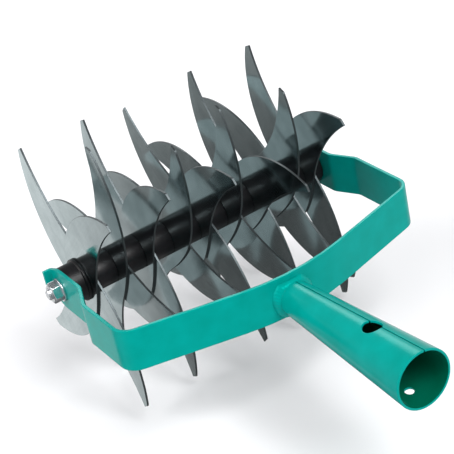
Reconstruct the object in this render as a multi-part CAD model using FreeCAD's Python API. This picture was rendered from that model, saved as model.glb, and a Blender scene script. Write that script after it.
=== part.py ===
# Rolling star head of a hand lawn aerator: a bowed flat-strip frame with a tapered
# handle socket, and a rotor of crossed sickle blades that turns on a bolt.
# Millimetres. X runs along the axle from left to right, -Y points to the handle, +Z is up.
# Shapes are laid out round the middle of the axle, then moved so that the origin is the
# centre of the socket mouth, where the handle goes in.
import os
import FreeCAD
import Part
from math import sin, cos, tan, radians, sqrt, atan2, pi

os.makedirs("parts", exist_ok=True)
Vec = FreeCAD.Vector

# ---- frame strip ----
frameWidth = 230.0          # over the outer faces of the arms
stripHeight = 30.0
stripThick = 2.5
tipClearance = 4.9          # blade tips to the line through the two frame corners
bowSlope = 15.7             # degrees each half of the bow falls away from the middle
bowRadius = 145.0           # outer radius of the bend in the middle of the bow
cornerRadius = 13.5         # outer radius of the two frame corners
joggleDepth = 8.5           # how far each arm end is set inward
leftJoggle = (-52.0, -31.0)   # y where the left arm starts and ends its set-in
rightJoggle = (-42.0, -23.0)  # the same on the right arm
joggleRadius = 8.0
lipGap = 0.2                # washer edge to the start of the lip bend
lipReach = 5.0              # how far the lip stands out from the end tab
lipRadius = 1.5
endEase = 26.0              # radius that eases the top and bottom corners of each end
endEaseStart = -2.0         # y where that easing starts

# ---- handle socket ----
socketLength = 129.0
socketRootRadius = 11.6
socketMouthRadius = 19.5
socketWall = 1.6
socketShiftX = -5.1         # the socket is welded a little left of the middle
socketShiftZ = -1.8
seamGap = 0.8
seamAngle = 80.0            # degrees round from +X towards +Z
drainHoleRadius = 6.3
drainHoleAlong = 84.5       # from the bow face
screwHoleRadius = 3.1
screwHoleAlong = 112.0
weldRadius = 14.8
weldThroat = 3.6
weldFit = 0.04              # radial, bead on the socket root

# ---- axle ----
boltRadius = 4.0
runClearance = 0.05         # radial, rotor sleeve on bolt
holeClearance = 0.1         # radial, bolt in tab, washer and nut
washerRadius = 8.5
washerThick = 1.6
nutFlats = 13.0
nutHeight = 6.5
boltHeadHeight = 5.3
boltEndPast = 2.0           # thread standing past the nut

# ---- rotor ----
stationCount = 9
bushLength = 12.6
bladeThick = 1.5
tipRadius = 96.6
sleeveRadius = 8.0
sleeveFit = 0.03            # radial, blades and spacers on the sleeve
spacerRadius = 12.5
bushRadius = 13.8
bushCollarRadius = 15.2
bushCollarLength = 2.0
endClearance = 0.3          # rotor end to frame tab

# Blade outline, laid out with the tip on +X: the back of each tine is an arc of a large
# circle, the hollow side an arc of a larger one, and a short arc joins the two across the hub.
# Centres and radii are shares of the tip radius, so the outline keeps its shape.
backCentre = (0.3706 * tipRadius, -0.6170 * tipRadius)
backRadius = 0.9234 * tipRadius
hollowCentre = (0.8313 * tipRadius, -1.3012 * tipRadius)
hollowRadius = 1.3199 * tipRadius
backEndX = 0.1035 * tipRadius       # where the back arc ends near the hub
hollowEndX = 0.2277 * tipRadius     # where the hollow arc ends near the hub
waistBulge = 0.0088 * tipRadius     # rise of the joining arc over its chord

# Angle of each blade's tip, degrees from the handle direction towards up, as the two
# blades of each station stand on the hub: outer (left) blade, then inner (right) blade.
stationAngles = [
    (42, 119),
    (83, -2),
    (43, 112),
    (64, -4),
    (37, 133),
    (73, -8),
    (22, 115),
    (67, -23),
    (39, 109),
]


# sizes that follow from the ones above
cornerReach = tipRadius + tipClearance
lipFace = washerRadius + lipGap + lipRadius
armX = frameWidth / 2
tabX = armX - joggleDepth
tabInner = tabX - stripThick
bowMidY = -cornerReach - armX * tan(radians(bowSlope))
bowFaceY = bowMidY + bowRadius / cos(radians(bowSlope)) - bowRadius
mouthCentre = Vec(socketShiftX, bowFaceY - socketLength, socketShiftZ)
rotorEnd = tabInner - endClearance
stationPitch = (rotorEnd - bushLength - bladeThick) / ((stationCount - 1) / 2)


def saveNode(name, shape):
    shape.translated(mouthCentre * -1).exportStep("parts/" + name + ".step")


def cylinderX(radius, start, end):
    return Part.makeCylinder(radius, end - start, Vec(start, 0, 0), Vec(1, 0, 0))


def tubeX(outer, inner, start, end):
    return cylinderX(outer, start, end).cut(cylinderX(inner, start - 1, end + 1))


# A path is a list of corners (x, y, bend radius). stripEdges gives the edges of that path
# moved sideways to its left by an offset; bends stay concentric.
def stripEdges(corners, offset):
    marks = []
    for i in range(1, len(corners) - 1):
        here = Vec(corners[i][0], corners[i][1], 0)
        before = here.sub(Vec(corners[i - 1][0], corners[i - 1][1], 0)).normalize()
        after = Vec(corners[i + 1][0], corners[i + 1][1], 0).sub(here).normalize()
        turn = atan2(before.x * after.y - before.y * after.x, before.dot(after))
        side = 1.0 if turn > 0 else -1.0
        radius = corners[i][2]
        cut = radius * tan(abs(turn) / 2)
        leftBefore = Vec(-before.y, before.x, 0)
        leftAfter = Vec(-after.y, after.x, 0)
        centre = here.sub(before * cut).add(leftBefore * (side * radius))
        newRadius = radius - side * offset
        start = centre.sub(leftBefore * (side * newRadius))
        end = centre.sub(leftAfter * (side * newRadius))
        middle = start.add(end).multiply(0.5).sub(centre).normalize()
        marks.append((start, centre.add(middle * newRadius), end))
    first = Vec(corners[0][0], corners[0][1], 0)
    ahead = Vec(corners[1][0], corners[1][1], 0).sub(first).normalize()
    last = Vec(corners[-1][0], corners[-1][1], 0)
    astern = last.sub(Vec(corners[-2][0], corners[-2][1], 0)).normalize()
    here = first.add(Vec(-ahead.y, ahead.x, 0) * offset)
    edges = []
    for start, middle, end in marks:
        edges.append(Part.LineSegment(here, start).toShape())
        edges.append(Part.Arc(start, middle, end).toShape())
        here = end
    finish = last.add(Vec(-astern.y, astern.x, 0) * offset)
    edges.append(Part.LineSegment(here, finish).toShape())
    return edges


# ---- frame strip ----
def armCorners(side, joggle):
    # outer-face corners from the lip end down to the arm, for the left arm
    bend = joggleRadius
    bendOut = joggleRadius + stripThick
    return [
        (side * (tabX + lipReach), lipFace, 0),
        (side * tabX, lipFace, lipRadius),
        (side * tabX, joggle[1], bend),
        (side * armX, joggle[0], bendOut),
        (side * armX, -cornerReach, cornerRadius),
    ]


stripPath = armCorners(-1, leftJoggle)
stripPath.append((0.0, bowMidY, bowRadius))
stripPath.extend(reversed(armCorners(1, rightJoggle)))
outerEdges = stripEdges(stripPath, 0.0)
innerEdges = stripEdges(stripPath, stripThick)
startCap = Part.LineSegment(innerEdges[0].Vertexes[0].Point, outerEdges[0].Vertexes[0].Point)
endCap = Part.LineSegment(outerEdges[-1].Vertexes[-1].Point, innerEdges[-1].Vertexes[-1].Point)
loop = outerEdges + [endCap.toShape()] + innerEdges + [startCap.toShape()]
stripWire = Part.Wire(Part.__sortEdges__(loop))
frameStrip = Part.Face(stripWire).extrude(Vec(0, 0, stripHeight))
frameStrip.translate(Vec(0, 0, -stripHeight / 2))

# ease the top and bottom corners of both strip ends
easeEnd = lipFace + 3 * stripThick
easeDrop = endEase - sqrt(endEase ** 2 - (easeEnd - endEaseStart) ** 2)
for level in (1, -1):
    top = level * stripHeight / 2
    low = Vec(-200, endEaseStart, top)
    middleY = (endEaseStart + easeEnd) / 2
    middleDrop = endEase - sqrt(endEase ** 2 - (middleY - endEaseStart) ** 2)
    mid = Vec(-200, middleY, top - level * middleDrop)
    far = Vec(-200, easeEnd, top - level * easeDrop)
    peak = Vec(-200, easeEnd, top + level)
    back = Vec(-200, endEaseStart, top + level)
    easeWire = Part.Wire([
        Part.Arc(low, mid, far).toShape(),
        Part.LineSegment(far, peak).toShape(),
        Part.LineSegment(peak, back).toShape(),
        Part.LineSegment(back, low).toShape(),
    ])
    frameStrip = frameStrip.cut(Part.Face(easeWire).extrude(Vec(400, 0, 0)))

tabHole = cylinderX(boltRadius + holeClearance, -armX - 20, armX + 20)
frameStrip = frameStrip.cut(tabHole)
saveNode("frame_strip", frameStrip)

# ---- handle socket: rolled cone with an open seam, a drain hole and a screw hole ----
socketBase = Vec(socketShiftX, bowFaceY, socketShiftZ)
towardHandle = Vec(0, -1, 0)
taper = (socketMouthRadius - socketRootRadius) / socketLength
rootSink = 3.0              # the cone starts inside the strip and is cut to its face
sunkBase = socketBase.sub(towardHandle * rootSink)
sunkLength = socketLength + rootSink
sunkRadius = socketRootRadius - taper * rootSink
cone = Part.makeCone(sunkRadius, socketMouthRadius, sunkLength, sunkBase, towardHandle)
hollow = Part.makeCone(
    sunkRadius - socketWall - taper, socketMouthRadius - socketWall + taper,
    sunkLength + 2, sunkBase.sub(towardHandle), towardHandle)
socket = cone.cut(hollow)
seam = Part.makeBox(
    2 * socketMouthRadius, sunkLength + 10, seamGap,
    Vec(0, -sunkLength - 5, -seamGap / 2))
seam.rotate(Vec(0, 0, 0), Vec(0, 1, 0), -seamAngle)
seam.translate(sunkBase)
socket = socket.cut(seam)
drainHole = Part.makeCylinder(
    drainHoleRadius, 40, socketBase.add(towardHandle * drainHoleAlong), Vec(0, 0, 1))
screwHole = Part.makeCylinder(
    screwHoleRadius, 40, socketBase.add(towardHandle * screwHoleAlong), Vec(0, 0, -1))
socket = socket.cut(drainHole).cut(screwHole)

# cut the root to the front face of the strip
bowBlock = Part.Face(Part.Wire(Part.__sortEdges__(
    stripEdges([(-armX, -cornerReach, 0), (0, bowMidY, bowRadius), (armX, -cornerReach, 0)], 0.0)
    + [Part.LineSegment(Vec(armX, -cornerReach, 0), Vec(armX, 0, 0)).toShape(),
       Part.LineSegment(Vec(armX, 0, 0), Vec(-armX, 0, 0)).toShape(),
       Part.LineSegment(Vec(-armX, 0, 0), Vec(-armX, -cornerReach, 0)).toShape()]
))).extrude(Vec(0, 0, 80))
bowBlock.translate(Vec(0, 0, -40))
socket = socket.cut(bowBlock)
saveNode("handle_socket", socket)

# ---- weld bead round the socket root ----
weldCone = Part.makeCone(
    weldRadius + 0.8, socketRootRadius, weldThroat + rootSink, sunkBase, towardHandle)
weldCore = Part.makeCone(
    sunkRadius - taper + weldFit, socketMouthRadius + taper + weldFit, sunkLength + 2,
    sunkBase.sub(towardHandle), towardHandle)
weld = weldCone.cut(weldCore).cut(bowBlock)
flatTrim = Part.makeBox(60, 60, stripHeight - 1.0, Vec(-30, bowFaceY - 30, -stripHeight / 2 + 0.5))
saveNode("socket_weld", weld.common(flatTrim))

# ---- axle bolt, nut and washers ----
hexRadius = nutFlats / 2 / cos(pi / 6)


def hexPrism(start, end):
    points = []
    for i in range(7):
        turn = radians(60 * i + 10)
        points.append(Vec(start, hexRadius * cos(turn), hexRadius * sin(turn)))
    prism = Part.Face(Part.makePolygon(points)).extrude(Vec(end - start, 0, 0))
    return prism


# chamfer the corners of a hexagon on the end that faces outward
def hexChamfer(start, end, outward):
    base = start if outward > 0 else end
    rise = hexRadius - nutFlats / 2 * 0.96
    length = end - start
    cap = Part.makeCone(
        hexRadius + length - rise * 0.6, hexRadius - rise * 0.6, length,
        Vec(base, 0, 0), Vec(outward, 0, 0))
    return hexPrism(start, end).common(cap)


washerFace = tabX + washerThick
nutEnd = washerFace + nutHeight
boltLeft = -nutEnd - boltEndPast
shank = cylinderX(boltRadius, boltLeft + 1, washerFace)
pointEnd = Part.makeCone(boltRadius - 0.8, boltRadius, 1, Vec(boltLeft, 0, 0), Vec(1, 0, 0))
head = hexChamfer(washerFace, washerFace + boltHeadHeight, 1)
saveNode("axle_bolt", shank.fuse(pointEnd).fuse(head).removeSplitter())
nutBore = cylinderX(boltRadius + holeClearance, -nutEnd - 1, -washerFace + 1)
saveNode("axle_nut", hexChamfer(-nutEnd, -washerFace, -1).cut(nutBore))
saveNode("washer_left", tubeX(washerRadius, boltRadius + holeClearance, -washerFace, -tabX))
saveNode("washer_right", tubeX(washerRadius, boltRadius + holeClearance, tabX, washerFace))

# ---- rotor: sleeve, end bushes, spacers ----
boreRadius = boltRadius + runClearance
saveNode("hub_sleeve", tubeX(sleeveRadius, boreRadius, -rotorEnd, rotorEnd))
stackRadius = sleeveRadius + sleeveFit
stackEnd = (stationCount - 1) / 2 * stationPitch + bladeThick
for side, name in ((-1, "end_bush_left"), (1, "end_bush_right")):
    low = min(side * stackEnd, side * rotorEnd)
    high = max(side * stackEnd, side * rotorEnd)
    bush = tubeX(bushRadius, stackRadius, low, high)
    collarEnd = side * (stackEnd + bushCollarLength)
    collarLow = min(side * stackEnd, collarEnd)
    collarHigh = max(side * stackEnd, collarEnd)
    bush = bush.fuse(tubeX(bushCollarRadius, stackRadius, collarLow, collarHigh))
    saveNode(name, bush.removeSplitter())

stationX = []
for i in range(stationCount):
    stationX.append((i - (stationCount - 1) / 2) * stationPitch)
for i in range(stationCount - 1):
    start = stationX[i] + bladeThick
    end = stationX[i + 1] - bladeThick
    saveNode("hub_spacer_%d" % (i + 1), tubeX(spacerRadius, stackRadius, start, end))


# ---- blades ----
def onArc(centre, radius, x, sign):
    return Vec(x, centre[1] + sign * sqrt(radius ** 2 - (x - centre[0]) ** 2), 0)


# x where an arc of the outline meets the tip circle, found by halving the interval
def tipMeet(centre, radius):
    low, high = tipRadius / 2, tipRadius
    for _ in range(60):
        middle = (low + high) / 2
        point = onArc(centre, radius, middle, 1)
        if point.Length < tipRadius:
            low = middle
        else:
            high = middle
    return low


def bladeSide():
    backTip = onArc(backCentre, backRadius, tipMeet(backCentre, backRadius), 1)
    backMid = onArc(backCentre, backRadius, (backTip.x + backEndX) / 2, 1)
    backEnd = onArc(backCentre, backRadius, backEndX, 1)
    # the hollow side of the opposite tine is the same arc turned half a turn
    farTip = onArc(hollowCentre, hollowRadius, tipMeet(hollowCentre, hollowRadius), 1)
    farMid = onArc(hollowCentre, hollowRadius, (farTip.x + hollowEndX) / 2, 1)
    farEnd = onArc(hollowCentre, hollowRadius, hollowEndX, 1)
    farTip, farMid, farEnd = farTip * -1, farMid * -1, farEnd * -1
    chord = backEnd.sub(farEnd)
    rise = Vec(-chord.y, chord.x, 0).normalize() * waistBulge
    waist = (backEnd.add(farEnd) * 0.5).add(rise)
    edges = [
        Part.Arc(backTip, backMid, backEnd).toShape(),
        Part.Arc(backEnd, waist, farEnd).toShape(),
        Part.Arc(farEnd, farMid, farTip).toShape(),
    ]
    return edges, backTip, farTip


def bladePlate():
    edges, backTip, farTip = bladeSide()
    turned = []
    for edge in edges:
        copy = edge.copy()
        copy.rotate(Vec(0, 0, 0), Vec(0, 0, 1), 180)
        turned.append(copy)
    tipMid = backTip.sub(farTip).normalize() * tipRadius
    tipArc = Part.Arc(backTip, tipMid, farTip * -1).toShape()
    tipArcFar = Part.Arc(backTip * -1, tipMid * -1, farTip).toShape()
    wire = Part.Wire(Part.__sortEdges__(edges + turned + [tipArc, tipArcFar]))
    plate = Part.Face(wire).extrude(Vec(0, 0, bladeThick))
    return plate.cut(Part.makeCylinder(stackRadius, bladeThick + 2, Vec(0, 0, -1)))


# The blank lies in the XY plane. Standing it up puts its x towards the handle (-Y), its y up
# and its thickness along -X. Blades of every second station are turned over, so they curve
# the other way.
def standBlade(tipAngle, flipped, leftFace):
    plate = bladePlate()
    if flipped:
        plate.rotate(Vec(0, 0, bladeThick / 2), Vec(1, 0, 0), 180)
    plate.rotate(Vec(0, 0, 0), Vec(0, 0, 1), tipAngle)
    toFrame = FreeCAD.Matrix(
        0, 0, -1, leftFace + bladeThick,
        -1, 0, 0, 0,
        0, 1, 0, 0,
        0, 0, 0, 1)
    plate.Placement = FreeCAD.Placement(toFrame).multiply(plate.Placement)
    return plate


for i in range(stationCount):
    flipped = i % 2 == 1
    outerAngle, innerAngle = stationAngles[i]
    saveNode("blade_%da" % (i + 1), standBlade(outerAngle, flipped, stationX[i] - bladeThick))
    saveNode("blade_%db" % (i + 1), standBlade(innerAngle, flipped, stationX[i]))
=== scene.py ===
import math
import bmesh
import bpy
import numpy as np
from mathutils import Matrix, Vector


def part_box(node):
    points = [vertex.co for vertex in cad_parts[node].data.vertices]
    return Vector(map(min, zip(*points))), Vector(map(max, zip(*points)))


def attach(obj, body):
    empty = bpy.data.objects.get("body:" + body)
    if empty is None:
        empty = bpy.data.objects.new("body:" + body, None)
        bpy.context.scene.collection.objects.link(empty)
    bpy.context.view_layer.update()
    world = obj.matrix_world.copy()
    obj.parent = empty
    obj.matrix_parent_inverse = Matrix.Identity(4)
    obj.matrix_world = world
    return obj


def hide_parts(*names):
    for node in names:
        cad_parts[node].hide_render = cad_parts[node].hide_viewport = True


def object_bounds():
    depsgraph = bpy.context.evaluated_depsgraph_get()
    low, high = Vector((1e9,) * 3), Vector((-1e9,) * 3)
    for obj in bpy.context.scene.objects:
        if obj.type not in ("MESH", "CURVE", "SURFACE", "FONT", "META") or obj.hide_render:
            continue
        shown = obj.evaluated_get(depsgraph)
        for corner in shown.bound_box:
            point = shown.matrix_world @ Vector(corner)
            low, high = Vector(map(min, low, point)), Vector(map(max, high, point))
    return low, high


# Rolling star head of a hand lawn aerator: a bent green strip frame with a rolled handle
# socket welded to it, and a rotor of sickle blades threaded between black nylon spacers.
# Sizes in the dictionaries are millimetres; places come from the CAD nodes' boxes.

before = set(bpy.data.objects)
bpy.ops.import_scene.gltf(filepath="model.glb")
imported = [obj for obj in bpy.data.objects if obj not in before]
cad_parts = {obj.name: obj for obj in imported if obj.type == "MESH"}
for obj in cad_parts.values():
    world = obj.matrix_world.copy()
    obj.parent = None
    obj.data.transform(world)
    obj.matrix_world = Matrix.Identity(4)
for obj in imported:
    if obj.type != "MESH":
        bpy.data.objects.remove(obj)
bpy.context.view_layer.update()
mm = 0.001
weldWithin = 1e-6       # metres; points nearer than this are one point
sharpFrom = 50.0        # degrees; folds past this are cut edges and get eased


# Lowest and highest corner of a CAD node, in millimetres.
def boxMm(node):
    low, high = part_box(node)
    return np.array(low) / mm, np.array(high) / mm


axle = sum(boxMm("hub_sleeve")) / 2     # middle of the axle, which runs along X
print("frame loaded, axle at", axle.round(2))


# Each vector over its own length.
def unit(vector):
    return vector / np.linalg.norm(vector, axis=-1, keepdims=True)


# Quads of a grid of rows by columns; a closed direction wraps its last line onto its first.
def gridFaces(rows, columns, closeRows=False, closeColumns=False):
    r = np.arange(rows if closeRows else rows - 1)[:, None]
    c = np.arange(columns if closeColumns else columns - 1)[None, :]
    nextR = (r + 1) % rows
    nextC = (c + 1) % columns
    corners = [r * columns + c, nextR * columns + c, nextR * columns + nextC, r * columns + nextC]
    return np.stack([np.broadcast_to(k, (r.size, c.size)) for k in corners], -1).reshape(-1, 4)


# A flat blank with round holes. The blank is a grid in its own two coordinates. Round each
# hole a block of cells is taken out, and rings run from the block's border to the hole: a
# ring point is the border point moved part of the way to the hole's edge, straight at its
# centre. A hole that crosses the blank's first or last column (side -1 or 1) is an open arc:
# its border starts and ends on that column, and its edge is spread evenly over two angles.
def punchedBlank(flat, holes, rings=5):
    rows, columns = flat.shape[:2]
    onGrid = flat.reshape(-1, 2)
    keep = np.ones((rows - 1, columns - 1), bool)
    points = [onGrid]
    ringFaces = []
    total = rows * columns
    for hole in holes:
        r0, r1, c0, c1 = hole["block"]
        side = hole.get("side", 0)
        keep[r0:r1, c0:c1] = False
        down = np.arange(r0, r1)
        across = np.arange(c0, c1)
        downFirst = down * columns + c0
        outLast = r1 * columns + across
        upLast = down[::-1] * columns + columns + c1
        backFirst = r0 * columns + across[::-1] + 1
        walls = {
            0: [downFirst, outLast, upLast, backFirst],
            -1: [outLast, upLast, backFirst, [r0 * columns]],
            1: [backFirst, downFirst, outLast, [r1 * columns + c1]]}
        border = np.concatenate(walls[side])
        centre = np.array(hole["centre"])
        size = np.array(hole["radius"]) * np.ones(2)
        start = onGrid[border]
        rim = centre + unit((start - centre) / size) * size
        if side:
            spread = np.linspace(*hole["angles"], len(border))
            rim = centre + np.stack([np.cos(spread), np.sin(spread)], -1) * size
        share = (np.arange(1, rings + 1) / rings)[:, None, None]
        points.append((start + (rim - start) * share).reshape(-1, 2))
        count = len(border)
        index = np.vstack([border, total + np.arange(rings * count).reshape(rings, count)])
        near, far = index[:-1], index[1:]
        ring = np.stack([near, far, np.roll(far, -1, 1), np.roll(near, -1, 1)], -1)
        if side:
            ring = ring[:, :-1]
        ringFaces.append(ring.reshape(-1, 4)[:, ::-1])
        total += rings * count
    faces = gridFaces(rows, columns)[keep.ravel()]
    return np.vstack(points), np.vstack([faces] + ringFaces)


# The block of grid cells that holds a round hole with a margin round it.
def blockRound(flat, centre, reach):
    inside = (np.abs(flat - np.array(centre)) < np.array(reach)).all(-1)
    rows = np.nonzero(inside.any(1))[0]
    columns = np.nonzero(inside.any(0))[0]
    return rows[0], rows[-1], columns[0], columns[-1]


# One mesh piece in metres, riding on a body in place of its CAD nodes. flat holds each
# point's place on the flat blank in millimetres, kept as the UV map for grain and lines;
# merge joins doubled points at poles and turns the faces of a closed piece outwards.
def makePiece(name, points, faces, materials, body, nodes, flat=None, merge=False):
    mesh = bpy.data.meshes.new(name)
    mesh.from_pydata((points * mm).tolist(), [], faces.tolist())
    if merge:
        work = bmesh.new()
        work.from_mesh(mesh)
        bmesh.ops.remove_doubles(work, verts=work.verts, dist=weldWithin)
        bmesh.ops.recalc_face_normals(work, faces=work.faces)
        work.to_mesh(mesh)
        work.free()
    if flat is not None:
        uv = mesh.uv_layers.new(name="blank")
        corner = np.empty(len(mesh.loops), np.int32)
        mesh.loops.foreach_get("vertex_index", corner)
        uv.data.foreach_set("uv", (flat[corner] * mm).astype(np.float32).ravel())
    for material in materials:
        mesh.materials.append(material)
    mesh.polygons.foreach_set("use_smooth", np.ones(len(mesh.polygons), bool))
    mesh.update()
    piece = bpy.data.objects.new(name, mesh)
    bpy.context.scene.collection.objects.link(piece)
    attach(piece, body)
    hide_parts(*nodes)
    return piece


# Gives a sheet its thickness and eases its cut edges.
def thicken(piece, thick, offset, edge, segments=3, rimMaterial=0, insideMaterial=0):
    wall = piece.modifiers.new("thickness", "SOLIDIFY")
    wall.thickness = thick * mm
    wall.offset = offset
    wall.use_even_offset = True
    wall.material_offset = insideMaterial
    wall.material_offset_rim = rimMaterial
    ease = piece.modifiers.new("easedEdges", "BEVEL")
    ease.width = edge * mm
    ease.segments = segments
    ease.limit_method = "ANGLE"
    ease.angle_limit = math.radians(sharpFrom)
    ease.use_clamp_overlap = False
    ease.harden_normals = True
    ease.material = rimMaterial if rimMaterial else -1


# An sRGB hex colour as linear values.
def hexColour(code):
    values = [int(code[i:i + 2], 16) / 255 for i in (1, 3, 5)]
    linear = [v / 12.92 if v <= 0.04045 else ((v + 0.055) / 1.055) ** 2.4 for v in values]
    return (*linear, 1.0)


# Adds one node: its settings, then its inputs, each a value or another node's output.
def addNode(tree, kind, inputs=None, **settings):
    made = tree.nodes.new("ShaderNode" + kind)
    for key, value in settings.items():
        setattr(made, key, value)
    for key, value in (inputs or {}).items():
        if isinstance(value, bpy.types.NodeSocket):
            tree.links.new(value, made.inputs[key])
        else:
            made.inputs[key].default_value = value
    return made


# An empty material, and its node tree.
def newMaterial(name):
    material = bpy.data.materials.new(name)
    material.use_nodes = True
    material.node_tree.nodes.clear()
    return material, material.node_tree


def finishMaterial(tree, shader):
    addNode(tree, "OutputMaterial", {"Surface": shader.outputs[0]})


# Colours laid along a factor; stops are (place, linear colour).
def ramp(tree, factor, stops):
    made = addNode(tree, "ValToRGB", {"Fac": factor})
    elements = made.color_ramp.elements
    while len(elements) < len(stops):
        elements.new(0.5)
    for element, (place, colour) in zip(elements, stops):
        element.position = place
        element.color = colour
    return made.outputs["Color"]


# Noise scale that gives features of a size in millimetres.
def perMetre(sizeMm):
    return 1.0 / (sizeMm * mm)


# Stoved gloss enamel over bent mild-steel strip: an even, deep colour with a faint orange
# peel, a little thinner and lighter on the mottled spots, and a sharp clear gloss. The copy
# made for the inside of the socket is darker and duller: painted shade in the recess.
def glossEnamel(name, deep, light, roughness):
    look = dict(mottle=14.0, peel=2.2, peelHeight=0.010, level=0.26, gleam="#18FFF2",
                smoother=0.04, rougher=0.05)
    material, tree = newMaterial(name)
    place = addNode(tree, "TexCoord").outputs["Object"]
    mottle = addNode(tree, "TexNoise", {
        "Vector": place, "Scale": perMetre(look["mottle"]), "Detail": 3.0, "Roughness": 0.5})
    colour = ramp(tree, mottle.outputs["Fac"], [
        (0.3, hexColour(deep)), (0.7, hexColour(light))])
    peel = addNode(tree, "TexNoise", {
        "Vector": place, "Scale": perMetre(look["peel"]), "Detail": 1.0})
    bump = addNode(tree, "Bump", {
        "Height": peel.outputs["Fac"], "Distance": look["peelHeight"] * mm, "Strength": 1.0})
    rough = addNode(tree, "MapRange", {
        "Value": mottle.outputs["Fac"], "To Min": roughness - look["smoother"],
        "To Max": roughness + look["rougher"]})
    shader = addNode(tree, "BsdfPrincipled", {
        "Base Color": colour, "Roughness": rough.outputs[0], "IOR": 1.5,
        "Specular IOR Level": look["level"], "Specular Tint": hexColour(look["gleam"]),
        "Normal": bump.outputs[0]})
    finishMaterial(tree, shader)
    return material


# Bright cold-rolled spring steel: a soft mirror, never quite flat, with fine lines along the
# strip it was stamped from and broad faint clouding where it was handled and degreased.
def rolledSteel():
    look = dict(light="#B4C2C4", dark="#9CABAD", line=0.9, lineLength=60.0, cloud=18.0,
                roughness=0.1, smoother=0.05, rougher=0.09, lineHeight=0.0008, wave=70.0,
                waveHeight=0.22)
    material, tree = newMaterial("rolledSteel")
    place = addNode(tree, "UVMap", uv_map="blank").outputs[0]
    lines = addNode(tree, "Mapping", {
        "Vector": place,
        "Scale": (perMetre(look["lineLength"]), perMetre(look["line"]), 1.0)})
    grain = addNode(tree, "TexNoise", {
        "Vector": lines.outputs[0], "Scale": 1.0, "Detail": 4.0, "Roughness": 0.65})
    cloud = addNode(tree, "TexNoise", {
        "Vector": place, "Scale": perMetre(look["cloud"]), "Detail": 3.0, "Roughness": 0.55})
    colour = ramp(tree, cloud.outputs["Fac"], [
        (0.3, hexColour(look["dark"])), (0.72, hexColour(look["light"]))])
    rough = addNode(tree, "MapRange", {
        "Value": grain.outputs["Fac"], "To Min": look["roughness"] - look["smoother"],
        "To Max": look["roughness"] + look["rougher"]})
    wave = addNode(tree, "TexNoise", {
        "Vector": place, "Scale": perMetre(look["wave"]), "Detail": 0.0})
    warp = addNode(tree, "Bump", {
        "Height": wave.outputs["Fac"], "Distance": look["waveHeight"] * mm,
        "Strength": 1.0})
    bump = addNode(tree, "Bump", {
        "Height": grain.outputs["Fac"], "Distance": look["lineHeight"] * mm,
        "Strength": 1.0, "Normal": warp.outputs[0]})
    shader = addNode(tree, "BsdfPrincipled", {
        "Base Color": colour, "Metallic": 1.0, "Roughness": rough.outputs[0],
        "Normal": bump.outputs[0]})
    finishMaterial(tree, shader)
    return material


# The sheared edge of the same sheet: dull, a little torn across the thickness, and darker than bare
# steel as painted shade on the blade edges.
def shearedEdgeAndShade():
    # the dark greys are partly the dull sheared finish and partly painted shade
    look = dict(light="#5C6365", dark="#34393B", tear=0.5, roughness=0.42, tearHeight=0.02)
    material, tree = newMaterial("shearedEdgeAndShade")
    place = addNode(tree, "TexCoord").outputs["Object"]
    tear = addNode(tree, "TexNoise", {
        "Vector": place, "Scale": perMetre(look["tear"]), "Detail": 2.0})
    colour = ramp(tree, tear.outputs["Fac"], [
        (0.25, hexColour(look["dark"])), (0.6, hexColour(look["light"]))])
    bump = addNode(tree, "Bump", {
        "Height": tear.outputs["Fac"], "Distance": look["tearHeight"] * mm, "Strength": 1.0})
    shader = addNode(tree, "BsdfPrincipled", {
        "Base Color": colour, "Metallic": 1.0, "Roughness": look["roughness"],
        "Normal": bump.outputs[0]})
    finishMaterial(tree, shader)
    return material


# Glass-filled black nylon, injection moulded: near black with a satin skin that shows a
# fine grain and slow flow marks in its highlight.
def mouldedNylon():
    look = dict(dark="#0D0C0E", light="#181619", grain=0.7, grainHeight=0.012, flow=9.0,
                roughness=0.34, smoother=0.06, rougher=0.08, level=0.32)
    material, tree = newMaterial("mouldedNylon")
    place = addNode(tree, "TexCoord").outputs["Object"]
    flow = addNode(tree, "TexNoise", {
        "Vector": place, "Scale": perMetre(look["flow"]), "Detail": 2.0, "Distortion": 0.6})
    grain = addNode(tree, "TexNoise", {
        "Vector": place, "Scale": perMetre(look["grain"]), "Detail": 1.0})
    colour = ramp(tree, flow.outputs["Fac"], [
        (0.3, hexColour(look["dark"])), (0.75, hexColour(look["light"]))])
    rough = addNode(tree, "MapRange", {
        "Value": flow.outputs["Fac"], "To Min": look["roughness"] - look["smoother"],
        "To Max": look["roughness"] + look["rougher"]})
    bump = addNode(tree, "Bump", {
        "Height": grain.outputs["Fac"], "Distance": look["grainHeight"] * mm,
        "Strength": 1.0})
    shader = addNode(tree, "BsdfPrincipled", {
        "Base Color": colour, "Roughness": rough.outputs[0], "IOR": 1.48,
        "Specular IOR Level": look["level"], "Normal": bump.outputs[0]})
    finishMaterial(tree, shader)
    return material


# Bright blue-white zinc plate on cold-headed steel: quick, clean highlights with a faint
# cloudiness from the passivation bath.
def brightZinc():
    look = dict(light="#E6E9EC", dark="#C3C9CE", cloud=4.0, grain=0.6, grainHeight=0.006,
                roughness=0.2)
    material, tree = newMaterial("brightZinc")
    place = addNode(tree, "TexCoord").outputs["Object"]
    cloud = addNode(tree, "TexNoise", {
        "Vector": place, "Scale": perMetre(look["cloud"]), "Detail": 3.0})
    grain = addNode(tree, "TexNoise", {
        "Vector": place, "Scale": perMetre(look["grain"]), "Detail": 1.0})
    colour = ramp(tree, cloud.outputs["Fac"], [
        (0.3, hexColour(look["dark"])), (0.65, hexColour(look["light"]))])
    bump = addNode(tree, "Bump", {
        "Height": grain.outputs["Fac"], "Distance": look["grainHeight"] * mm,
        "Strength": 1.0})
    shader = addNode(tree, "BsdfPrincipled", {
        "Base Color": colour, "Metallic": 1.0, "Roughness": look["roughness"],
        "Normal": bump.outputs[0]})
    finishMaterial(tree, shader)
    return material


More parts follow.
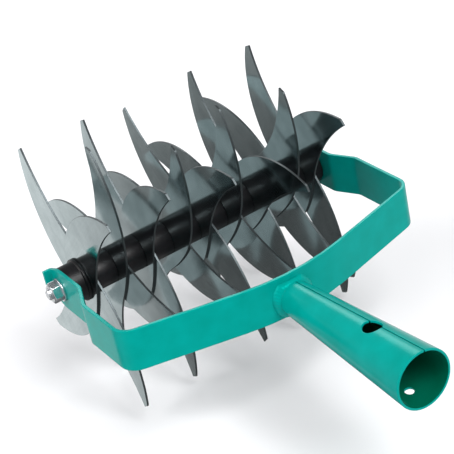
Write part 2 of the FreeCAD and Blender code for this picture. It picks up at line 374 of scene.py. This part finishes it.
enamel = glossEnamel("glossEnamel", "#00837A", "#008C84", 0.24)
# painted shade: a darker, duller copy of the enamel for the inside of the socket
shadedEnamelInside = glossEnamel("shadedEnamelInside", "#00563F", "#005E48", 0.34)
steel = rolledSteel()
shadedSteelEdge = shearedEdgeAndShade()
nylon = mouldedNylon()
zinc = brightZinc()
print("materials made")


strip = dict(
    thick=2.5, edge=0.5, bowSlope=15.7, bowRadius=145.0, cornerRadius=13.5,
    joggleDepth=8.5, leftJoggle=(-52.0, -31.0), rightJoggle=(-42.0, -23.0), joggleRadius=8.0,
    lipReach=5.0, lipRadius=1.5, holeRadius=4.1, easeRadius=26.0, easeStart=-2.0,
    runStep=2.6, arcStep=6.0, heightCells=16, holeRoom=(7.2, 7.8), onTabWithin=0.1,
)


# Points along straight runs joined by arcs. An arc touches both runs at radius times the
# tangent of half the turn from the corner, and its centre lies square off the run's end.
def bentLine(corners, runStep, arcStep):
    corner = np.array([c[:2] for c in corners], float)
    before = corner[0]
    parts = []
    for i in range(1, len(corner) - 1):
        into = unit(corner[i] - corner[i - 1])
        out = unit(corner[i + 1] - corner[i])
        turn = math.atan2(into[0] * out[1] - into[1] * out[0], into @ out)
        radius = corners[i][2]
        start = corner[i] - into * radius * math.tan(abs(turn) / 2)
        spoke = np.array([-into[1], into[0]]) * math.copysign(radius, turn)
        count = max(1, round(np.linalg.norm(start - before) / runStep))
        parts.append(before + (start - before) * (np.arange(count) / count)[:, None])
        count = max(4, round(abs(math.degrees(turn)) / arcStep))
        angle = turn * np.arange(count) / count
        swept = np.stack([
            spoke[0] * np.cos(angle) - spoke[1] * np.sin(angle),
            spoke[0] * np.sin(angle) + spoke[1] * np.cos(angle)], -1)
        parts.append(start + spoke - swept)
        before = corner[i] + out * radius * math.tan(abs(turn) / 2)
    count = max(1, round(np.linalg.norm(corner[-1] - before) / runStep))
    parts.append(before + (corner[-1] - before) * (np.arange(count + 1) / count)[:, None])
    return np.vstack(parts)


stripLow, stripHigh = boxMm("frame_strip")
armX = (stripHigh[0] - stripLow[0]) / 2
halfHeight = (stripHigh[2] - stripLow[2]) / 2
midHeight = (stripHigh[2] + stripLow[2]) / 2
tabX = armX - strip["joggleDepth"]
slope = math.radians(strip["bowSlope"])
faceY = stripLow[1] - axle[1]                    # front of the bow, from the axle
bowMidY = faceY + strip["bowRadius"] - strip["bowRadius"] / math.cos(slope)
cornerY = bowMidY + armX * math.tan(slope)
lipFace = stripHigh[1] - axle[1] - strip["thick"]


# Corners of one arm's outer face, from the turned-out lip to the corner by the bow, each with
# its bend radius. The two joggle places are along Y from the axle.
def armLine(side, joggle):
    return [
        (side * (tabX + strip["lipReach"]), lipFace, 0),
        (side * tabX, lipFace, strip["lipRadius"]),
        (side * tabX, joggle[1], strip["joggleRadius"]),
        (side * armX, joggle[0], strip["joggleRadius"] + strip["thick"]),
        (side * armX, cornerY, strip["cornerRadius"]),
    ]


corners = armLine(-1, strip["leftJoggle"]) + [(0.0, bowMidY, strip["bowRadius"])]
corners += armLine(1, strip["rightJoggle"])[::-1]
line = bentLine(corners, strip["runStep"], strip["arcStep"])
along = np.concatenate([[0], np.cumsum(np.linalg.norm(np.diff(line, axis=0), axis=1))])

# half height at each point: full, then easing off on a large arc towards the strip's ends
past = np.clip(line[:, 1] + strip["thick"] / 2 - strip["easeStart"], 0, None)
half = halfHeight - (strip["easeRadius"] - np.sqrt(strip["easeRadius"] ** 2 - past ** 2))
heightShare = np.linspace(-1, 1, strip["heightCells"] + 1)
flat = np.stack(np.broadcast_arrays(along[:, None], half[:, None] * heightShare), -1)
tabPlace = []
for side in (-1, 1):
    onTab = (line[:, 0] * side > 0) & (np.abs(line[:, 0] * side - tabX) < strip["onTabWithin"])
    order = np.argsort(line[onTab, 1])
    tabPlace.append(np.interp(0.0, line[onTab, 1][order], along[onTab][order]))
holes = []
for place in tabPlace:
    centre = (place, axle[2] - midHeight)
    holes.append(dict(
        centre=centre, radius=strip["holeRadius"], block=blockRound(flat, centre, strip["holeRoom"])))
flatPoints, faces = punchedBlank(flat, holes)
points = np.stack([
    np.interp(flatPoints[:, 0], along, line[:, 0]),
    np.interp(flatPoints[:, 0], along, line[:, 1]),
    flatPoints[:, 1]], -1) + [axle[0], axle[1], midHeight]
frameStrip = makePiece(
    "frameStrip", points, faces, [enamel], "frame", ["frame_strip"], flatPoints)
thicken(frameStrip, strip["thick"], -1, strip["edge"])
print("frame strip bent, blank length", along[-1].round(1))


socket = dict(
    rootRadius=11.6, mouthRadius=19.5, wall=1.6, edge=0.4, seamAngle=80.0, seamGap=0.8,
    seamDip=0.12, seamDipWidth=1.5, drainRadius=6.3, drainFromMouth=44.5,
    screwRadius=3.1, screwFromMouth=17.0, rowStep=1.9, columns=80,
    mouthEase=0.08, screwRoom=(6.0, 5.8), drainRoom=(1.5, 3.2), rootFollow=3,
)
socketLow, socketHigh = boxMm("handle_socket")
socketAxis = np.array([(socketLow[0] + socketHigh[0]) / 2, 0, (socketLow[2] + socketHigh[2]) / 2])
mouthY = socketLow[1]
rootY = stripLow[1]
socketLength = rootY - mouthY


# Outer radius of the cone at a distance from the mouth: a straight taper.
def coneRadius(fromMouth):
    share = fromMouth / socketLength
    return socket["mouthRadius"] + (socket["rootRadius"] - socket["mouthRadius"]) * share


# Rows run from the mouth to the root. Each row spans from one lip of the seam round to the
# other. The drain hole is drilled across the seam, so each lip carries an arc of it.
drain = socket["drainFromMouth"]
hole = socket["drainRadius"]
steps = np.linspace(socket["mouthEase"], socketLength, round(socketLength / socket["rowStep"]) + 1)
reach = coneRadius(steps)
seam = math.radians(socket["seamAngle"])
gapHalf = socket["seamGap"] / 2 / reach
leftEnd = seam + gapHalf
rightEnd = seam - gapHalf + 2 * math.pi
share = np.linspace(0, 1, socket["columns"] + 1)
angle = leftEnd[:, None] + (rightEnd - leftEnd)[:, None] * share
flat = np.stack(np.broadcast_arrays(angle, steps[:, None]), -1)
centre = (1.5 * math.pi, socket["screwFromMouth"])
screwReach = coneRadius(socket["screwFromMouth"])
screw = dict(
    centre=centre, radius=(socket["screwRadius"] / screwReach, socket["screwRadius"]),
    block=blockRound(
        flat, centre, (socket["screwRoom"][0] / screwReach, socket["screwRoom"][1])))
drainReach = coneRadius(drain)
drainWide = math.asin(hole / drainReach)
lip = socket["seamGap"] / 2 / drainReach
holes = [screw]
drainRoom = (socket["drainRoom"][0] * drainWide, hole + socket["drainRoom"][1])
for side, turns in ((-1, 0.0), (1, 2 * math.pi)):
    middle = math.pi / 2 + turns
    meet = math.acos((seam - side * lip + turns - middle) / drainWide)
    r0, r1, c0, c1 = blockRound(flat, (middle, drain), drainRoom)
    holes.append(dict(
        centre=(middle, drain), radius=(drainWide, hole), side=side,
        block=(r0, r1, 0, c1) if side == -1 else (r0, r1, c0, socket["columns"]),
        angles=(meet, -meet) if side == -1 else (-meet, meet - 2 * math.pi)))
flatPoints, faces = punchedBlank(flat, holes)
turn, far = flatPoints[:, 0], flatPoints[:, 1]

# The rolled lips dip a little at the seam: the radius falls by the dip times a bell curve of
# the distance from the seam. The root row follows the round of the bow it stands on.
away = np.abs((turn - seam + math.pi) % (2 * math.pi) - math.pi) * coneRadius(far)
radius = coneRadius(far) - socket["seamDip"] * np.exp(-(away / socket["seamDipWidth"]) ** 2)
x = socketAxis[0] + radius * np.cos(turn)
bowAt = np.sqrt(strip["bowRadius"] ** 2 - (x - axle[0]) ** 2)
rootSag = strip["bowRadius"] - bowAt
y = mouthY + far + rootSag * (far / socketLength) ** socket["rootFollow"]
points = np.stack([x, y, socketAxis[2] + radius * np.sin(turn)], -1)
flatPoints = np.stack([turn * screwReach, far], -1)
handleSocket = makePiece(
    "handleSocket", points, faces, [enamel, shadedEnamelInside], "frame",
    ["handle_socket"], flatPoints)
# the inside faces of the socket take the darker enamel copy, which is painted shade
thicken(handleSocket, socket["wall"], -1, socket["edge"], insideMaterial=1)
print("handle socket rolled")


weld = dict(
    footRadius=15.2, throat=3.5, bulge=0.7, ripplePitch=2.6, ripple=0.08, trim=14.3,
    around=240, across=18, sink=0.35, waves=((0.35, 3, 1.0), (0.2, 7, 0.4)), toeWave=0.25,
    chevron=12.0, backSink=0.4, toeDepth=1.2, backPlaces=(0.75, 0.25),
)


# A closed ring section carried round the socket root: from its foot on the bow's face, over
# a rounded crown, to its toe on the cone, and back underneath. Ripples are a cosine of the
# distance round the ring, bent into chevrons by the square of the place across the bead.
def weldBead():
    turn = np.linspace(0, 2 * math.pi, weld["around"], endpoint=False)[:, None]
    share = np.linspace(0, 1, weld["across"])[None, :]
    wobble = sum(size * np.sin(times * turn + late) for size, times, late in weld["waves"])
    limit = weld["trim"] - np.abs(socketAxis[2] - axle[2])
    foot = np.minimum(weld["footRadius"] + wobble, limit / np.maximum(np.abs(np.sin(turn)), 1e-6))
    toe = coneRadius(socketLength - weld["throat"]) - weld["sink"]
    x = socketAxis[0] + foot * np.cos(turn)
    face = strip["bowRadius"] - np.sqrt(strip["bowRadius"] ** 2 - (x - axle[0]) ** 2)
    footY = rootY + face + weld["sink"]
    toeY = rootY - weld["throat"] - weld["toeWave"] * wobble
    cycles = round(weld["footRadius"] * 2 * math.pi / weld["ripplePitch"])
    ripple = weld["ripple"] * np.cos(turn * cycles - weld["chevron"] * (share - 0.5) ** 2)
    over = (weld["bulge"] + ripple) * np.sin(math.pi * share)
    normal = unit(np.stack([footY - toeY, foot - toe], -1))
    radial = foot + (toe - foot) * share + over * normal[..., 0]
    height = footY + (toeY - footY) * share - over * normal[..., 1]
    back = np.array(weld["backPlaces"])[None, :]
    under = np.stack(np.broadcast_arrays(
        foot + (toe - weld["toeDepth"] - foot) * back,
        footY + weld["backSink"] + (toeY - footY) * back), -1)
    section = np.concatenate([np.stack([radial, height], -1), under], 1)
    points = np.stack([
        socketAxis[0] + section[..., 0] * np.cos(turn),
        section[..., 1],
        socketAxis[2] + section[..., 0] * np.sin(turn)], -1)
    return points.reshape(-1, 3), gridFaces(*section.shape[:2], True, True)


points, faces = weldBead()
makePiece("socketWeld", points, faces, [enamel], "frame", ["socket_weld"],
          merge=True)
print("weld bead laid")


# A shape turned round the axle: every profile point (x, radius) goes round a full circle.
# radiusAt may change the radius by angle, which makes hexagons and threads. A profile that
# ends at radius 0 closes at a pole; a closed profile makes a ring.
def turned(profile, around, ring, radiusAt=None):
    profile = np.asarray(profile, float)
    angle = np.linspace(0, 2 * math.pi, around, endpoint=False)[None, :]
    x = profile[:, 0][:, None] + 0 * angle
    radius = profile[:, 1][:, None] + 0 * angle
    if radiusAt is not None:
        radius = radiusAt(x, radius, angle)
    points = np.stack([
        axle[0] + x, axle[1] + radius * np.cos(angle), axle[2] + radius * np.sin(angle)], -1)
    return points.reshape(-1, 3), gridFaces(len(profile), around, ring, True)


# Section of a ring with rounded outer corners: quarter circles of the given radius.
def ringSection(start, end, inner, outer, edge, innerEdge=0.15):
    quarter = np.linspace(0, math.pi / 2, 5)
    rows = []
    for cx, cr, e, turnFrom in (
            (start + edge, outer - edge, edge, math.pi),
            (end - edge, outer - edge, edge, math.pi / 2),
            (end - innerEdge, inner + innerEdge, innerEdge, 0.0),
            (start + innerEdge, inner + innerEdge, innerEdge, -math.pi / 2)):
        a = turnFrom - quarter
        rows.append(np.stack([cx + e * np.cos(a), cr + e * np.sin(a)], -1))
    return np.vstack(rows)


# Where a node on the axle starts and ends along X from the axle's middle, and its radius.
def span(node):
    low, high = boxMm(node)
    return low[0] - axle[0], high[0] - axle[0], (high[2] - low[2]) / 2


hub = dict(
    bore=4.05, spacers=8, stackBore=8.03, spacerEdge=0.35, sleeveEdge=0.2,
    bushRadius=13.8, collarLength=2.0, collarEdge=0.5, bushEdge=0.8, fillet=0.6,
    around=96,
)
start, end, outer = span("hub_sleeve")
points, faces = turned(
    ringSection(start, end, hub["bore"], outer, hub["sleeveEdge"]), hub["around"], True)
makePiece("hubSleeve", points, faces, [nylon], "rotor", ["hub_sleeve"], merge=True)

for i in range(1, hub["spacers"] + 1):
    start, end, outer = span("hub_spacer_%d" % i)
    points, faces = turned(
        ringSection(start, end, hub["stackBore"], outer, hub["spacerEdge"]),
        hub["around"], True)
    makePiece("hubSpacer%d" % i, points, faces, [nylon], "rotor",
              ["hub_spacer_%d" % i], merge=True)


# End bush: a collar against the blades, an inside fillet down to the barrel, and a rounded
# outer end by the frame tab. The profile is laid out for the right side and mirrored in x.
def endBush(name, node, side):
    start, end, outer = span(node)
    near, far = (start, end) if side > 0 else (-end, -start)
    quarter = np.linspace(0, math.pi / 2, 6)
    barrel = hub["bushRadius"]
    collar = near + hub["collarLength"]
    rows = [np.array([[near, hub["stackBore"]]])]
    e = hub["collarEdge"]
    rows.append(np.stack([near + e - e * np.cos(quarter), outer - e + e * np.sin(quarter)], -1))
    rows.append(np.stack([collar - e + e * np.sin(quarter), outer - e + e * np.cos(quarter)], -1))
    f = hub["fillet"]
    rows.append(np.stack([collar + f - f * np.cos(quarter), barrel + f - f * np.sin(quarter)], -1))
    e = hub["bushEdge"]
    rows.append(np.stack([far - e + e * np.sin(quarter), barrel - e + e * np.cos(quarter)], -1))
    rows.append(np.array([[far, hub["stackBore"]]]))
    profile = np.vstack(rows)
    profile[:, 0] *= side
    points, faces = turned(profile, hub["around"], True)
    makePiece(name, points, faces, [nylon], "rotor", [node], merge=True)


endBush("endBushLeft", "end_bush_left", -1)
endBush("endBushRight", "end_bush_right", 1)
print("hub stacked")

bolt = dict(
    radius=4.0, clearance=0.1, flats=13.0, headHeight=5.3, turnFlats=10.0, thread=1.25,
    threadDepth=0.38, washerEdge=0.25, around=144, faceShare=0.94, cutRoom=0.05, coreShare=0.8,
    seatHeight=0.3, seatDrop=0.2, nutBevel=0.3, pointDrop=0.8, pointLength=1.0, pastArm=6.0,
    cutStep=0.4, nutStep=0.35, threadStep=0.14, shankStep=12.0, crestShare=0.95, headRoom=0.01,
)


# Distance from the axis to the side of a hexagon at an angle: half the flats over the
# cosine of the angle from the nearest flat's middle.
def hexReach(angle):
    sixth = math.pi / 3
    fromFlat = (angle - math.radians(bolt["turnFlats"]) + sixth) % sixth - sixth / 2
    return bolt["flats"] / 2 / np.cos(fromFlat)


# A hexagon cut by its chamfer cones: the smaller of the two distances.
def hexCut(x, radius, angle):
    outside = radius > bolt["flats"] / 2 * bolt["coreShare"]
    return np.where(outside, np.minimum(radius, hexReach(angle)), radius)


# Profile of a hexagon before its sides are cut, from its free face to its seat: a 30 degree
# chamfer, a barrel just past the hexagon's corners, and a small bevel at the seat.
def hexProfile(seat, free, side):
    corner = bolt["flats"] / 2 / math.cos(math.pi / 6)
    face = bolt["flats"] / 2 * bolt["faceShare"]
    barrel = corner + bolt["cutRoom"]
    drop = (barrel - face) * math.tan(math.radians(30))
    length = abs(free - seat)
    rise = np.array([0.0, drop, length - bolt["seatHeight"], length])
    reach = np.array([face, barrel, barrel, corner - bolt["seatDrop"]])
    return np.stack([free - side * rise, reach], -1)


# Fills a profile with points no further apart than a step, so that curves cut cleanly.
def filled(profile, step):
    rows = []
    for a, b in zip(profile[:-1], profile[1:]):
        count = max(1, int(math.ceil(np.linalg.norm(b - a) / step)))
        rows.append(a + (b - a) * (np.arange(count) / count)[:, None])
    rows.append(profile[-1:])
    return np.vstack(rows)


for side, name, node in ((-1, "washerLeft", "washer_left"), (1, "washerRight", "washer_right")):
    start, end, outer = span(node)
    points, faces = turned(
        ringSection(start, end, bolt["radius"] + bolt["clearance"], outer, bolt["washerEdge"]),
        bolt["around"], True)
    makePiece(name, points, faces, [zinc], "frame", [node], merge=True)

start, end, outer = span("axle_nut")
bore = bolt["radius"] + bolt["clearance"]
shell = hexProfile(end, start, -1)
profile = np.vstack([
    [[start, bore]], [[start, bore + bolt["nutBevel"]]], shell, [[end, bore]]])
points, faces = turned(filled(profile, bolt["nutStep"]), bolt["around"], True, hexCut)
makePiece("axleNut", points, faces, [zinc], "frame", ["axle_nut"], merge=True)

start, end, outer = span("axle_bolt")
headStart = end - bolt["headHeight"]
threadEnd = -armX + bolt["pastArm"]


# Thread: a ridge whose height is a triangle wave of (x minus pitch times the turn) over the
# pitch; it stands only on the part past the frame tab.
def boltReach(x, radius, angle):
    wave = (x / bolt["thread"] - angle / (2 * math.pi)) % 1.0
    cut = bolt["threadDepth"] * (1 - np.abs(2 * wave - 1))
    threaded = (x < threadEnd) & (radius > bolt["radius"] * bolt["crestShare"])
    radius = np.where(threaded, radius - cut, radius)
    return np.where(x > headStart - bolt["headRoom"], hexCut(x, radius, angle), radius)


shankStart = start + bolt["pointLength"]
point = np.array([
    [start, 0.0], [start, bolt["radius"] - bolt["pointDrop"]], [shankStart, bolt["radius"]]])
thread = np.array([[shankStart, bolt["radius"]], [threadEnd, bolt["radius"]]])
shank = np.array([[threadEnd, bolt["radius"]], [headStart, bolt["radius"]]])
head = np.vstack([
    [[headStart, bolt["radius"]]], hexProfile(headStart, end, 1)[::-1], [[end, 0.0]]])
profile = np.vstack([
    filled(point, bolt["cutStep"])[:-1], filled(thread, bolt["threadStep"])[:-1],
    filled(shank, bolt["shankStep"]), filled(head, bolt["cutStep"])])
points, faces = turned(profile, bolt["around"], False, boltReach)
makePiece("axleBolt", points, faces, [zinc], "frame", ["axle_bolt"], merge=True)
print("axle fastened")


blade = dict(
    backCentre=(0.3706, -0.6170), backRadius=0.9234, hollowCentre=(0.8313, -1.3012),
    hollowRadius=1.3199, backEnd=0.1035, hollowEnd=0.2277, waistBulge=0.0088,
    bore=8.03, edge=0.18, alongCells=96, acrossCells=12, boreCells=(6, 4), boreRings=3,
    stations=9, samples=300, waistSamples=60, halvings=50, tipWithin=0.05,
    grainShift=(37.0, 53.0),        # so that no two blades show the same stretch of sheet
)


# Points on the upper half of a circle, at the given x.
def onArc(centre, radius, x):
    return np.stack([x, centre[1] + np.sqrt(radius ** 2 - (x - centre[0]) ** 2)], -1)


# The x where an arc meets the tip circle, by halving the interval.
def tipMeet(centre, radius, tip):
    low, high = tip / 2, tip
    for _ in range(blade["halvings"]):
        middle = (low + high) / 2
        inside = np.linalg.norm(onArc(centre, radius, np.array(middle))) < tip
        low, high = (middle, high) if inside else (low, middle)
    return low


# One long side of the S-shaped blank, tip to tip: the back arc of the near tine, a short
# arc past the hub, then the hollow arc of the far tine, which is the near one turned half
# a turn. Points are then spread evenly by length.
def bladeSide(tip):
    back = [np.array(blade["backCentre"]) * tip, blade["backRadius"] * tip]
    hollow = [np.array(blade["hollowCentre"]) * tip, blade["hollowRadius"] * tip]
    x = np.linspace(tipMeet(*back, tip), blade["backEnd"] * tip, blade["samples"])
    near = onArc(*back, x)
    x = np.linspace(blade["hollowEnd"] * tip, tipMeet(*hollow, tip), blade["samples"])
    far = -onArc(*hollow, x)
    chord = far[0] - near[-1]
    bow = blade["waistBulge"] * tip
    share = np.linspace(0, 1, blade["waistSamples"])[1:-1, None]
    normal = unit(np.array([chord[1], -chord[0]]))
    waist = near[-1] + chord * share + normal * bow * 4 * share * (1 - share)
    side = np.vstack([near, waist, far])
    length = np.concatenate([[0], np.cumsum(np.linalg.norm(np.diff(side, axis=0), axis=1))])
    even = np.linspace(0, length[-1], blade["alongCells"] + 1)
    return np.stack([np.interp(even, length, side[:, 0]), np.interp(even, length, side[:, 1])], -1)


cadPoints = {}      # each CAD blade's points in millimetres from the axle
for i in range(1, blade["stations"] + 1):
    for layer in "ab":
        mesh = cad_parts["blade_%d%s" % (i, layer)].data
        spots = np.empty(len(mesh.vertices) * 3, np.float32)
        mesh.vertices.foreach_get("co", spots)
        cadPoints[i, layer] = spots.reshape(-1, 3) / mm - axle
tipRadius = max(np.hypot(p[:, 1], p[:, 2]).max() for p in cadPoints.values())

# The blank is ruled between one side and the same side turned half a turn.
oneSide = bladeSide(tipRadius)
otherSide = -oneSide[::-1]
share = np.linspace(0, 1, blade["acrossCells"] + 1)[None, :, None]
flat = oneSide[:, None] * (1 - share) + otherSide[:, None] * share
middleRow, middleColumn = blade["alongCells"] // 2, blade["acrossCells"] // 2
rowReach, columnReach = blade["boreCells"]
bore = dict(centre=(0.0, 0.0), radius=blade["bore"], block=(
    middleRow - rowReach, middleRow + rowReach,
    middleColumn - columnReach, middleColumn + columnReach))
bladeFlat, bladeFaces = punchedBlank(flat, [bore], blade["boreRings"])
tipWay = unit(oneSide[0] + otherSide[0])
tipOff = math.atan2(tipWay[1], tipWay[0])


# A blade stands square to the axle. Its blank is turned over at every second station, then
# turned to the angle read from the tip of its CAD node, measured from the handle side
# upwards; the blank's x goes towards the handle and its y up.
def standBlade(i, layer):
    node = "blade_%d%s" % (i, layer)
    cad = cadPoints[i, layer]
    reach = np.hypot(cad[:, 1], cad[:, 2])
    tips = cad[reach > reach.max() - blade["tipWithin"]]
    tips = tips[tips[:, 1:] @ tips[0, 1:] > 0]
    middle = tips[:, 1:].min(0) + tips[:, 1:].max(0)
    over = -1 if i % 2 == 0 else 1
    turnTo = math.atan2(middle[1], -middle[0]) - over * tipOff
    px, py = bladeFlat[:, 0], bladeFlat[:, 1] * over
    qx = px * math.cos(turnTo) - py * math.sin(turnTo)
    qy = px * math.sin(turnTo) + py * math.cos(turnTo)
    low, high = boxMm(node)
    points = np.stack([
        np.full(len(qx), (low[0] + high[0]) / 2), axle[1] - qx, axle[2] + qy], -1)
    shift = blade["grainShift"]
    shifted = bladeFlat + [shift[0] * i, shift[1] * (layer == "b")]
    piece = makePiece("blade%d%s" % (i, layer), points, bladeFaces, [steel, shadedSteelEdge],
                      "rotor", [node], shifted)
    thicken(piece, high[0] - low[0], 0, blade["edge"], 2, 1)


for i in range(1, blade["stations"] + 1):
    for layer in "ab":
        standBlade(i, layer)
print("blades stacked")


studio = dict(
    floorHalf=6.0, floorColour="#DFDFE1", floorDrop=0.4,
    keyAzimuth=8.0, keyElevation=50.0, keySpread=34.0, keyStrength=3.4,
    rimAzimuth=153.0, rimElevation=34.0, rimSpread=20.0, rimStrength=0.45,
    leftAzimuth=-100.0, leftElevation=35.0, leftSpread=40.0, leftStrength=2.0,
    skyTop=0.25, skySide=0.66, wallRise=(0.15, 0.9), horizon=(-0.12, 0.02),
    below=0.1, frontBelow=0.42, frontFade=(0.1, 0.5), backFade=(0.0, 0.4),
    card=0.95, cardBack=0.6, cardRight=(9.0, 15.0), cardLeft=(20.5, 24.5), cardFoot=(-44.0, -36.0),
    glow=0.3, glowFrom=(-29.0, -22.0),
)
low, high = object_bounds()
floorMesh = bpy.data.meshes.new("floor")
size = studio["floorHalf"]
floorZ = low.z - studio["floorDrop"] * mm
floorMesh.from_pydata(
    [(-size, -size, floorZ), (size, -size, floorZ), (size, size, floorZ), (-size, size, floorZ)],
    [], [(0, 1, 2, 3)])
floor = bpy.data.objects.new("floor", floorMesh)
bpy.context.scene.collection.objects.link(floor)
floor.visible_glossy = False        # gloss sees the studio walls instead of the floor
material, tree = newMaterial("mattFloor")
finishMaterial(tree, addNode(tree, "BsdfPrincipled", {
    "Base Color": hexColour(studio["floorColour"]), "Roughness": 0.9,
    "Specular IOR Level": 0.1}))
floorMesh.materials.append(material)


# Unit vector from the object towards a light or the camera: azimuth runs from the front to the
# right, elevation up from the floor, in degrees.
def wayTo(azimuth, elevation):
    a, e = math.radians(azimuth), math.radians(elevation)
    return Vector((math.sin(a) * math.cos(e), -math.cos(a) * math.cos(e), math.sin(e)))


def addSun(name, azimuth, elevation, spread, strength):
    light = bpy.data.lights.new(name, "SUN")
    light.energy = strength
    light.angle = math.radians(spread)
    lamp = bpy.data.objects.new(name, light)
    lamp.rotation_mode = "QUATERNION"
    lamp.rotation_quaternion = wayTo(azimuth, elevation).to_track_quat("Z", "Y")
    bpy.context.scene.collection.objects.link(lamp)


addSun("keyLight", studio["keyAzimuth"], studio["keyElevation"], studio["keySpread"],
       studio["keyStrength"])
addSun("rimLight", studio["rimAzimuth"], studio["rimElevation"], studio["rimSpread"],
       studio["rimStrength"])
addSun("leftLight", studio["leftAzimuth"], studio["leftElevation"], studio["leftSpread"],
       studio["leftStrength"])

# Surround: light walls and a quieter ceiling. Below the horizon it is dim in front and nearly
# dark behind, but for a white card behind the left side and a glow under the back wall.
world = bpy.data.worlds.new("studio")
bpy.context.scene.world = world
world.use_nodes = True
tree = world.node_tree
tree.nodes.clear()


# A soft step: from one level to another as a value crosses a stretch.
def softStep(value, stretch, before, after):
    return addNode(tree, "MapRange", {
        "Value": value, "From Min": stretch[0], "From Max": stretch[1], "To Min": before,
        "To Max": after}, interpolation_type="SMOOTHSTEP").outputs[0]


# One sum on two values or node outputs.
def reckon(operation, first, second):
    return addNode(tree, "Math", {0: first, 1: second}, operation=operation).outputs[0]


def radians(stretch):
    return [math.radians(angle) for angle in stretch]


# Heights (Z of the unit way) at two elevations in degrees.
def heights(stretch):
    return [math.sin(angle) for angle in radians(stretch)]


way = addNode(tree, "TexCoord").outputs["Generated"]
parts = addNode(tree, "SeparateXYZ", {"Vector": way})
x, y, z = (parts.outputs[k] for k in "XYZ")
above = softStep(z, studio["wallRise"], studio["skySide"], studio["skyTop"])
bearing = reckon("ARCTAN2", reckon("MULTIPLY", x, -1.0), y)     # from straight back, to the left
behind = softStep(y, studio["backFade"], 0.0, 1.0)
card = reckon("MULTIPLY", behind, softStep(
    bearing, radians(studio["cardLeft"]), studio["card"], 0.0))
card = reckon("MULTIPLY", card, softStep(
    bearing, radians(studio["cardRight"]), studio["cardBack"], 1.0))
card = reckon("MULTIPLY", card, softStep(z, heights(studio["cardFoot"]), 0.0, 1.0))
glow = reckon("MULTIPLY", behind, softStep(z, heights(studio["glowFrom"]), 0.0, studio["glow"]))
dim = softStep(y, studio["frontFade"], studio["frontBelow"], studio["below"])
under = reckon("ADD", reckon("ADD", card, glow), dim)
horizon = softStep(z, studio["horizon"], 0.0, 1.0)
strength = reckon("ADD", reckon("MULTIPLY", above, horizon),
                  reckon("MULTIPLY", under, reckon("SUBTRACT", 1.0, horizon)))
sky = addNode(tree, "Background", {"Color": (1.0, 1.0, 1.0, 1.0), "Strength": strength})
addNode(tree, "OutputWorld", {"Surface": sky.outputs[0]})

view = dict(
    azimuth=-27.12, elevation=29.85, roll=-12.61, distance=1072.64,
    aim=(18.33, -13.78, -6.92), sensor=36.0, lens=122.29, clip=(0.05, 50.0),
)
back = wayTo(view["azimuth"], view["elevation"])
aim = Vector(axle + np.array(view["aim"])) * mm
camera = bpy.data.cameras.new("camera")
camera.sensor_width = view["sensor"]
camera.lens = view["lens"]
camera.clip_start, camera.clip_end = view["clip"]
cameraObject = bpy.data.objects.new("camera", camera)
bpy.context.scene.collection.objects.link(cameraObject)
turnIn = Matrix.Rotation(math.radians(view["roll"]), 4, "Z")
facing = (-back).to_track_quat("-Z", "Y").to_matrix().to_4x4()
cameraObject.matrix_world = (
    Matrix.Translation(aim + back * view["distance"] * mm) @ facing @ turnIn)
bpy.context.scene.camera = cameraObject
bpy.context.scene.view_settings.view_transform = "Standard"
bpy.context.scene.view_settings.look = "None"

print("stage set")
